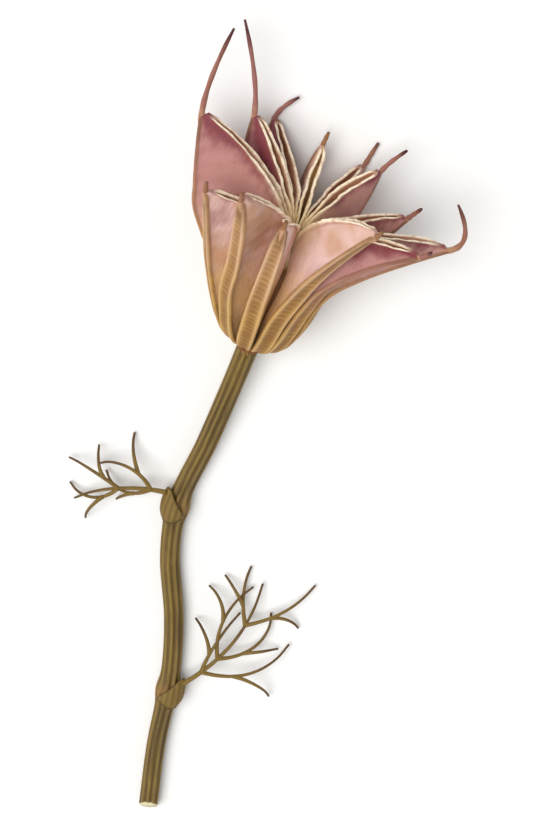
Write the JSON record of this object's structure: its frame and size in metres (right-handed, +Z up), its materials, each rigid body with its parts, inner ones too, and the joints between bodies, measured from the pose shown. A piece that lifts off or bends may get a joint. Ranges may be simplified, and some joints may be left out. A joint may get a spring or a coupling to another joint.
{
  "type": "nigella seed pod on its stem",
  "caption": "Dried open seed pod of flat, ribbed, long-beaked follicles spread like a fan, on a ribbed cut stem with thread leaves, lying down.",
  "frame": {"origin": "on the surface that the part lies on, under the middle of the whole part", "axes": "+Z up, +Y along the part from the stem's cut end to the pod, +X to the pod's leaning side"},
  "size_m": [0.0676, 0.148, 0.0294],
  "materials": {
    "pod_husk": "matte",
    "rust_scar": "matte",
    "straw_stem": "matte",
    "dry_leaf": "matte"
  },
  "bodies": {
    "root": {"pod": "pod_husk", "receptacle": "rust_scar", "stem": "straw_stem", "leaf_upper": "dry_leaf", "leaf_lower": "dry_leaf"}
  },
  "joints": []
}
